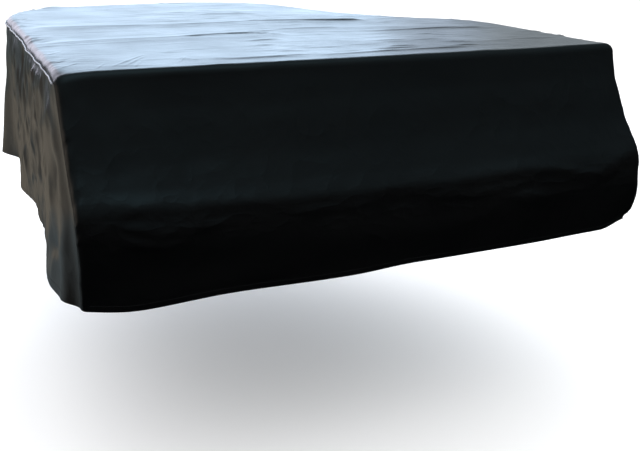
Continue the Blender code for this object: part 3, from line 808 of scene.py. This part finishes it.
def hem_extra(distance):
    """How much thicker the cloth is at a distance from its lower edge, where the hem is turned."""
    return HEM_EXTRA * (1 - eased((distance - HEM_DEPTH + HEM_STEP) / HEM_STEP))


def hem_row(distances):
    """Which of the distances from the lower edge is that of the hem's stitches."""
    return int(np.argmin(np.abs(distances - HEM_DEPTH + STITCH_INSET)))


def make_top_and_front(material):
    """The top panel and the front flap with all their relief, as one thin sheet."""
    sheet = top_and_front_sheet()
    outer, cells = sheet["outer"], sheet["cells"]
    relief = top_and_front_relief(sheet) + roll_puckers(sheet) + bass_puckers(sheet)
    outer = outer + relief[:, None] * vertex_normals(outer, cells)
    outward, upward = seam_drift(sheet["seam_run"])
    on_rim = (sheet["seam_run"] > 0) & (sheet["roll_share"] > 0)
    share = np.where(on_rim, sheet["roll_share"] ** 2, 0.0)
    _, rim_out = rim_at(np.clip(sheet["seam_run"], 0.0, sheet["distances"][-1]))
    outer[:, :2] += (share * outward)[:, None] * rim_out
    outer[:, 2] += share * upward
    outer = settled(outer)
    sheet["outer"] = outer
    sheet["normals"] = vertex_normals(outer, cells)
    extra = hem_extra(sheet["hem"])
    return new_sheet("cover_top_and_front", outer, cells, extra, sheet["flat"], material), sheet


def skirt_relief(run, depth):
    """How far each point of the skirt stands out: slack folds, gathers below the seam and crumpling."""
    places = np.column_stack([depth, run])
    folds = sum(scattered_creases(places, *row) for row in SKIRT_STREWN)
    folds += 0.0014 * crumple(places, (0.110, 0.070), 54) + 0.0050 * (lattice_noise(places, 0.150, 56) - 0.5)
    return folds * eased(depth / 0.030)


def make_side_skirt(sheet, material):
    """The skirt with all its relief, as one thin sheet sewn to the top panel's seam."""
    every = sheet["distances"]
    distances, shares = np.concatenate([every[:CELLS_ALONG], every[CELLS_ALONG::2]]), sheet["shares"]
    outer = skirt_face(distances, shares, sheet["bass_edge"], sheet["treble_edge"])
    wide, deep = outer.shape[:2]
    depth = np.concatenate([
        np.zeros((wide, 1)), np.cumsum(np.linalg.norm(np.diff(outer, axis=1), axis=-1), axis=1),
    ], axis=1)
    run = np.repeat(distances[:, None], deep, axis=1)
    points, cells = outer.reshape(-1, 3), grid_cells(wide, deep)
    to_corner = np.minimum(run, distances[-1] - run).ravel()
    relief = skirt_relief(run.ravel(), depth.ravel()) * eased(to_corner / 0.05)
    points = points + relief[:, None] * vertex_normals(points, cells)
    outward, upward = seam_drift(distances)
    _, rim_out = rim_at(distances)
    fade = np.exp(-((depth / 0.045) ** 2))
    points = points.reshape(wide, deep, 3)
    points[..., :2] += (fade * outward[:, None])[..., None] * rim_out[:, None]
    points[..., 2] += fade * upward[:, None]
    points = settled(points)
    hem = depth[:, -1:] - depth
    flat = np.stack([run, -depth], axis=-1).reshape(-1, 2)
    outer = points.reshape(-1, 3)
    piece = new_sheet("cover_side_skirt", outer, cells, hem_extra(hem).ravel(), flat, material)
    return piece, points, vertex_normals(outer, cells).reshape(wide, deep, 3), hem


def make_welt(distances, material):
    """The welt: a tube carried along the seam, whose radius swells and shrinks a little as it goes."""
    rim, outward = rim_at(distances)
    drift_out, drift_up = seam_drift(distances)
    waves = np.column_stack([distances, np.zeros_like(distances)])
    radius = WELT_RADIUS * (0.88 + 0.16 * lattice_noise(waves, 0.023, 61))
    plan = rim + outward * (WELT_RADIUS + SEAM_GAP + drift_out)[:, None]
    centre = np.column_stack([plan, SEAM_Z + drift_up])
    centre = settled(centre)
    out = np.column_stack([outward, np.zeros(len(outward))])
    turns = np.linspace(0.0, 2 * np.pi, 10, endpoint=False)
    rings = centre[:, None] + radius[:, None, None] * (
        np.cos(turns)[:, None] * out[:, None] + np.sin(turns)[:, None] * np.array([0.0, 0.0, 1.0])
    )
    count, sides = rings.shape[:2]
    here = (np.arange(count - 1)[:, None] * sides + np.arange(sides)).ravel()
    beside = (np.arange(count - 1)[:, None] * sides + (np.arange(sides) + 1) % sides).ravel()
    faces = np.column_stack([here, here + sides, beside + sides, beside]).tolist()
    faces += [list(range(sides)), list(range((count - 1) * sides, count * sides))[::-1]]
    around = np.repeat(distances[:, None], sides, axis=1)
    flat = np.stack([around, np.broadcast_to(turns * WELT_RADIUS, around.shape)], axis=-1).reshape(-1, 2)
    return new_piece("cover_welt", rings.reshape(-1, 3), faces, material, flat)


def make_stitches(name, rows, material):
    """Rows of lockstitches: short round-ended grains of thread laid end to end, half sunk in the cloth."""
    turns = np.linspace(0.0, 2 * np.pi, 5, endpoint=False)
    stations = np.array([(-0.5, 0.25), (-0.30, 1.0), (0.30, 1.0), (0.5, 0.25)])
    grain = np.array([
        (place * STITCH_LENGTH, THREAD_RADIUS * swell * np.cos(turn), THREAD_RADIUS * swell * np.sin(turn))
        for place, swell in stations
        for turn in turns
    ])
    sides = len(turns)
    here = (np.arange(len(stations) - 1)[:, None] * sides + np.arange(sides)).ravel()
    beside = here - here % sides + (here + 1) % sides
    cells = np.column_stack([here, beside, beside + sides, here + sides])
    ends = [tuple(range(sides))[::-1], tuple(range(3 * sides, 4 * sides))]
    points, faces = [], []
    for path, normals in rows:
        run = lengths_along(path)
        places = np.arange(STITCH_PITCH, run[-1] - STITCH_PITCH, STITCH_PITCH)
        centre = at_distances(path, places)
        step = STITCH_PITCH / 4
        way = unit(at_distances(path, places + step) - at_distances(path, places - step))
        up = np.stack([np.interp(places, run, axis) for axis in normals.T], axis=-1)
        up = unit(up - (up * way).sum(axis=1)[:, None] * way)
        aside = np.cross(up, way)
        made = centre[:, None] + grain[:, :1] * way[:, None] + grain[:, 1:2] * aside[:, None]
        made = made + (grain[:, 2:] + 0.3 * THREAD_RADIUS) * up[:, None]
        first = sum(len(block) for block in points)
        points.append(made.reshape(-1, 3))
        starts = first + np.arange(len(places)) * len(grain)
        faces += (starts[:, None, None] + cells).reshape(-1, 4).tolist()
        for end in ends:
            faces += (starts[:, None] + np.array(end)).tolist()
    return new_piece(name, np.vstack(points), faces, material)


def linear(code):
    """A colour written as an sRGB hex code, in linear light."""
    parts = np.array([int(code[n : n + 2], 16) for n in (1, 3, 5)]) / 255.0
    return (*np.where(parts <= 0.04045, parts / 12.92, ((parts + 0.055) / 1.055) ** 2.4), 1.0)


def node(tree, kind, settings=None, inputs=None):
    """Adds a shader node with its settings, and sets or links its inputs."""
    made = tree.nodes.new("ShaderNode" + kind)
    for name, value in (settings or {}).items():
        setattr(made, name, value)
    for name, value in (inputs or {}).items():
        if isinstance(value, bpy.types.NodeSocket):
            tree.links.new(value, made.inputs[name])
        else:
            made.inputs[name].default_value = value
    return made


def new_material(name):
    """A material with an empty node tree, and the Object coordinates to paint it by."""
    material = bpy.data.materials.new(name)
    material.use_nodes = True
    tree = material.node_tree
    tree.nodes.clear()
    return material, tree, node(tree, "TexCoord").outputs["Object"]


def drawn_pulls(tree, places, table):
    """Height in metres of straight ridges on the top: each has a rounded crest and dies out at both ends."""
    plan = node(tree, "VectorMath", {"operation": "MULTIPLY"}, {0: places, 1: (1.0, 1.0, 0.0)}).outputs[0]
    height = 0.0
    for x0, y0, x1, y1, half, rise in table:
        start, run = (x0, y0, 0.0), np.array([x1 - x0, y1 - y0, 0.0])
        away = node(tree, "VectorMath", {"operation": "SUBTRACT"}, {0: plan, 1: start}).outputs[0]
        share = node(
            tree, "VectorMath", {"operation": "DOT_PRODUCT"}, {0: away, 1: run / (run @ run)}
        ).outputs["Value"]
        share = node(tree, "Clamp", {}, {"Value": share}).outputs["Result"]
        offset = node(
            tree, "VectorMath", {"operation": "MULTIPLY_ADD"}, {0: share, 1: -run, 2: away}
        ).outputs[0]
        aside = node(tree, "VectorMath", {"operation": "LENGTH"}, {0: offset}).outputs["Value"]
        to_end = node(tree, "Math", {"operation": "PINGPONG"}, {0: share, 1: 0.5}).outputs["Value"]
        crest = node(
            tree, "MapRange", SMOOTH, {"Value": to_end, "From Max": 0.3, "To Max": rise}
        ).outputs["Result"]
        bump = node(
            tree, "MapRange", SMOOTH, {"Value": aside, "From Max": 2 * half, "To Min": crest, "To Max": 0.0}
        ).outputs["Result"]
        height = node(tree, "Math", {"operation": "ADD"}, {0: height, 1: bump}).outputs["Value"]
    return height


def flap_and_pulls(tree, places, crumples, below, pulls):
    """The last bumps of the top and front: its crumpling, the crinkles on the flap and the sharp pulls.

    The flap is looked at square on, so its crumpling has to be deeper than the top's to show. Crinkles,
    90 mm long and 35 mm from crest to crest, lie along the line where the cloth leaves the key block.
    """
    place = node(tree, "SeparateXYZ", {}, {0: places}).outputs
    on_flap = node(
        tree, "MapRange", {}, {"Value": place["Y"], "From Min": -0.77, "From Max": -0.81}
    ).outputs["Result"]
    deep = node(
        tree, "MapRange", {}, {"Value": on_flap, "To Min": TOP_CRUMPLE_DEPTH, "To Max": FLAP_CRUMPLE_DEPTH}
    ).outputs["Result"]
    bumped = node(tree, "Bump", {}, {"Distance": deep, "Height": crumples, "Normal": below.outputs[0]})
    stretched = node(
        tree, "VectorMath", {"operation": "MULTIPLY"}, {0: places, 1: (0.4, 1.0, 1.0)}
    ).outputs[0]
    crinkles = node(
        tree, "TexNoise", RIDGED,
        {"Vector": stretched, "Scale": 28.0, "Detail": 2.0, "Roughness": 0.5,
         "Lacunarity": 2.3, "Offset": 0.9},
    ).outputs["Fac"]
    from_line = node(tree, "Math", {"operation": "ADD"}, {0: place["Z"], 1: -CRINKLE_Z}).outputs[0]
    from_line = node(tree, "Math", {"operation": "ABSOLUTE"}, {0: from_line}).outputs[0]
    by_line = node(
        tree, "MapRange", SMOOTH,
        {"Value": from_line, "From Max": CRINKLE_REACH, "To Min": CRINKLE_DEPTH, "To Max": 0.0},
    ).outputs["Result"]
    crinkled = node(tree, "Math", {"operation": "MULTIPLY"}, {0: by_line, 1: on_flap}).outputs[0]
    bumped = node(tree, "Bump", {}, {"Distance": crinkled, "Height": crinkles, "Normal": bumped.outputs[0]})
    ridges = drawn_pulls(tree, places, pulls)
    return node(tree, "Bump", {}, {"Distance": 1.0, "Height": ridges, "Normal": bumped.outputs[0]})


def tinted_surface(material, share, low, high, looks):
    """Ends a material: one surface, whose colour runs between two tints with a share from 0 to 1."""
    tree = material.node_tree
    tints = {0: share, 6: linear(low), 7: linear(high)}
    color = node(tree, "Mix", {"data_type": "RGBA"}, tints).outputs[2]
    shader = node(tree, "BsdfPrincipled", {}, {"Base Color": color, **looks})
    output = node(tree, "OutputMaterial")
    tree.links.new(shader.outputs["BSDF"], output.inputs["Surface"])
    return material


def proofed_nylon(name, dark, paler_tint, roughness, pulls):
    """Nylon taffeta with a thin proofing: woven fine and close, then coated, so it is smooth and stiff.

    To the eye it is black with a silky gloss that grows pale at a low angle. It keeps every crease, is a
    little duller where it was handled, and its weave shows only from a hand's breadth.
    """
    material, tree, places = new_material(name)
    flat = node(tree, "UVMap", {"uv_map": "cloth"}).outputs["UV"]
    # Fine crumpling, 90 mm and 30 mm from crest to crest
    crumples = node(
        tree, "TexNoise", RIDGED,
        {"Vector": places, "Scale": 11.0, "Detail": 3.0, "Roughness": 0.55, "Lacunarity": 2.6, "Offset": 0.9},
    ).outputs["Fac"]
    dents = node(
        tree, "TexNoise", {}, {"Vector": places, "Scale": 34.0, "Detail": 2.0, "Roughness": 0.5}
    ).outputs["Fac"]
    warp, weft = (
        node(
            tree, "TexWave", {"bands_direction": axis}, {"Vector": flat, "Scale": WAVE_PITCH / WEAVE_PITCH}
        ).outputs["Fac"]
        for axis in "XY"
    )
    weave = node(tree, "Math", {"operation": "MULTIPLY"}, {0: warp, 1: weft}).outputs["Value"]
    woven = node(tree, "Bump", {}, {"Strength": 0.25, "Distance": 0.00015, "Height": weave})
    dented = node(
        tree, "Bump", {}, {"Strength": 0.4, "Distance": 0.0008, "Height": dents, "Normal": woven.outputs[0]}
    )
    if pulls:
        bumped = flap_and_pulls(tree, places, crumples, dented, pulls)
    else:
        bumped = node(
            tree, "Bump", {},
            {"Distance": SKIRT_CRUMPLE_DEPTH, "Height": crumples, "Normal": dented.outputs[0]},
        )
    # Handling leaves cloudy patches about 250 mm across
    clouds = node(
        tree, "TexNoise", {}, {"Vector": places, "Scale": 4.0, "Detail": 4.0, "Roughness": 0.6}
    ).outputs["Fac"]
    patches = {"Value": clouds, "From Min": 0.3, "From Max": 0.7}
    dull = node(
        tree, "MapRange", {}, {**patches, "To Min": roughness - 0.03, "To Max": roughness + 0.05}
    ).outputs["Result"]
    looks = {"Roughness": dull, "IOR": 1.53, "Normal": bumped.outputs[0]}
    # The level of the two tints is set per copy, and is painted light and shade: near pure black for the top
    # and front, lighter and warmer for the skirt
    return tinted_surface(material, clouds, dark, paler_tint, looks)


def bound_cloth(name):
    """The seam's edge, folded over and sewn down: the same nylon, painted grey to pale grey in patches all
    round, as a painted highlight for the bright line along its crest.
    """
    material, tree, places = new_material(name)
    highlight_and_bump_noise = node(tree, "TexNoise", {}, {"Vector": places, "Scale": 60.0, "Detail": 3.0}).outputs["Fac"]
    bumped = node(tree, "Bump", {}, {"Strength": 0.5, "Distance": 0.0004, "Height": highlight_and_bump_noise})
    looks = {"Roughness": 0.38, "IOR": 1.53, "Normal": bumped.outputs[0]}
    # The grey to pale grey tints are a painted highlight, far paler than the black nylon's own colour
    return tinted_surface(material, highlight_and_bump_noise, "#3c3d40", "#85868b", looks)


def spun_thread(name):
    """Spun polyester thread: matt black, with the twist of its plies 0.6 mm apart."""
    material, tree, places = new_material(name)
    twist = node(
        tree, "TexWave", {"bands_direction": "DIAGONAL"}, {"Vector": places, "Scale": WAVE_PITCH / PLY_PITCH}
    ).outputs["Fac"]
    return tinted_surface(material, twist, "#0c0d0e", "#202224", {"Roughness": 0.7, "IOR": 1.5})


def painted_floor(name):
    """A plain matt floor of pale paint, faintly clouded by its roller."""
    material, tree, places = new_material(name)
    clouds = node(tree, "TexNoise", {}, {"Vector": places, "Scale": 0.8, "Detail": 3.0}).outputs["Fac"]
    return tinted_surface(material, clouds, "#f4f4f4", "#f8f8f8", {"Roughness": 0.9})


def soft_light(name, place, way, wide, high, power, color):
    """A soft box: an area light that faces the given level way and isn't seen itself."""
    lamp = bpy.data.lights.new(name, "AREA")
    lamp.shape = "RECTANGLE"
    lamp.size = wide
    lamp.size_y = high
    lamp.energy = power
    lamp.color = linear(color)[:3]
    light = bpy.data.objects.new(name, lamp)
    side = np.cross(way, (0.0, 0.0, 1.0))
    turn = Matrix(np.column_stack([side, np.cross(side, way), -np.array(way)]).tolist()).to_4x4()
    turn.translation = place
    light.matrix_world = turn
    light.visible_camera = False
    bpy.context.scene.collection.objects.link(light)


def pale_room(name):
    """The room around: white and even for the floor, and dim where the cloth mirrors it."""
    world = bpy.data.worlds.new(name)
    world.use_nodes = True
    tree = world.node_tree
    tree.nodes.clear()
    way = node(tree, "TexCoord").outputs["Generated"]
    parts = node(tree, "SeparateXYZ", {}, {0: way}).outputs
    height = parts["Z"]
    # Before the keyboard the room gives less light up to some height, though it is seen as white
    lift = node(
        tree, "MapRange", SMOOTH,
        {"Value": height, "From Min": 0.05, "From Max": 0.55, "To Min": 0.08, "To Max": ROOM_STRENGTH},
    ).outputs["Result"]
    behind = node(
        tree, "MapRange", {}, {"Value": parts["Y"], "From Min": -0.3, "From Max": 0.0, "To Max": ROOM_STRENGTH}
    ).outputs["Result"]
    rays = node(tree, "LightPath").outputs
    seen = node(
        tree, "Math", {"operation": "MULTIPLY"}, {0: rays["Is Camera Ray"], 1: ROOM_STRENGTH}
    ).outputs[0]
    strength = node(tree, "Math", {"operation": "MAXIMUM"}, {0: lift, 1: behind}).outputs[0]
    strength = node(tree, "Math", {"operation": "MAXIMUM"}, {0: strength, 1: seen}).outputs[0]
    bright = node(tree, "Background", {}, {"Color": linear("#ffffff"), "Strength": strength})
    # The cloth mirrors a dim blue room, which is brighter higher up and brightest right overhead
    overhead = node(
        tree, "MapRange", SMOOTH,
        {"Value": height, "From Min": 0.02, "From Max": 0.70, "To Min": 0.004, "To Max": 0.145},
    ).outputs["Result"]
    zenith = node(
        tree, "MapRange", SMOOTH,
        {"Value": height, "From Min": 0.84, "From Max": 1.0, "To Min": 0.0, "To Max": 0.55},
    ).outputs["Result"]
    overhead = node(tree, "Math", {"operation": "ADD"}, {0: overhead, 1: zenith}).outputs[0]
    mirrored = node(tree, "Background", {}, {"Color": linear("#96c8d8"), "Strength": overhead})
    mixed = node(
        tree, "MixShader", {}, {0: rays["Is Glossy Ray"], 1: bright.outputs[0], 2: mirrored.outputs[0]}
    )
    output = node(tree, "OutputWorld")
    tree.links.new(mixed.outputs[0], output.inputs["Surface"])
    return world


def make_stage():
    """The floor, the lights and the sky."""
    reach = FLOOR_REACH
    corners = np.array([
        (-reach, -reach, FLOOR_Z), (reach, -reach, FLOOR_Z), (reach, reach, FLOOR_Z), (-reach, reach, FLOOR_Z),
    ])
    floor = new_piece("floor", corners, [(0, 1, 2, 3)], painted_floor("pale_floor_paint"))
    floor.visible_glossy = False  # the cloth doesn't mirror the pale floor in the photograph
    for row in LIGHTS:
        soft_light(*row)
    bpy.context.scene.world = pale_room("room")


def make_camera():
    """The photograph's camera, from its place and its three angles."""
    yaw, pitch, roll = np.radians([CAMERA_YAW, CAMERA_PITCH, CAMERA_ROLL])
    forward = np.array([np.sin(yaw) * np.cos(pitch), np.cos(yaw) * np.cos(pitch), np.sin(pitch)])
    right = np.array([np.cos(yaw), -np.sin(yaw), 0.0])
    up = np.cross(right, forward)
    turned = np.cos(roll) * right + np.sin(roll) * up
    upward = np.cos(roll) * up - np.sin(roll) * right
    data = bpy.data.cameras.new("photo_camera")
    data.lens = CAMERA_LENS
    data.sensor_width = CAMERA_SENSOR
    data.clip_end = 100.0
    camera = bpy.data.objects.new("photo_camera", data)
    placed = Matrix(np.column_stack([turned, upward, -forward]).tolist()).to_4x4()
    placed.translation = CAMERA_PLACE
    camera.matrix_world = placed
    bpy.context.scene.collection.objects.link(camera)
    bpy.context.scene.camera = camera


def main():
    """Makes every piece, fixes each to the root body and hides the part it stands for, and sets the stage."""
    # Two copies of one cloth, tinted apart as painted light and shade: the top and front's tint is pushed to
    # near pure black, a painted shade for the dark lower front flap, and the skirt's is lighter and warmer
    body_cloth = proofed_nylon("proofed_nylon_top", "#010102", "#020304", 0.34, SHARP_PULLS)
    skirt_cloth = proofed_nylon("proofed_nylon_skirt", "#080706", "#100e0c", 0.36, [])
    thread = spun_thread("spun_polyester_thread")
    top, sheet = make_top_and_front(body_cloth)
    skirt, skirt_points, skirt_normals, skirt_hem = make_side_skirt(sheet, skirt_cloth)
    welt = make_welt(sheet["distances"], bound_cloth("bound_nylon_edge"))

    wide, deep = sheet["grid"]
    beside_seam = sheet["rings"][-2]
    flap_hem = np.arange(wide) * deep + hem_row(sheet["hem"][:deep])
    in_hem = hem_row(skirt_hem[len(skirt_hem) // 2])
    seam_rows = [
        (sheet["outer"][beside_seam], sheet["normals"][beside_seam]),
        (skirt_points[:, 1], skirt_normals[:, 1]),
    ]
    hem_rows = [
        (sheet["outer"][flap_hem], sheet["normals"][flap_hem]),
        (skirt_points[:, in_hem], skirt_normals[:, in_hem]),
    ]
    seam_stitches = make_stitches("seam_stitches", seam_rows, thread)
    hem_stitches = make_stitches("hem_stitches", hem_rows, thread)

    for piece, replaced, slot in (
        (top, "top_and_front", "coated_nylon"),
        (skirt, "side_skirt", "coated_nylon"),
        (welt, "seam_welt", "welt_cloth"),
        (seam_stitches, None, "sewing_thread"),
        (hem_stitches, None, "sewing_thread"),
    ):
        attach(piece, "root")
        if replaced:
            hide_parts(replaced)
    make_stage()
    make_camera()


main()
bpy.context.scene.view_settings.view_transform = "Standard"
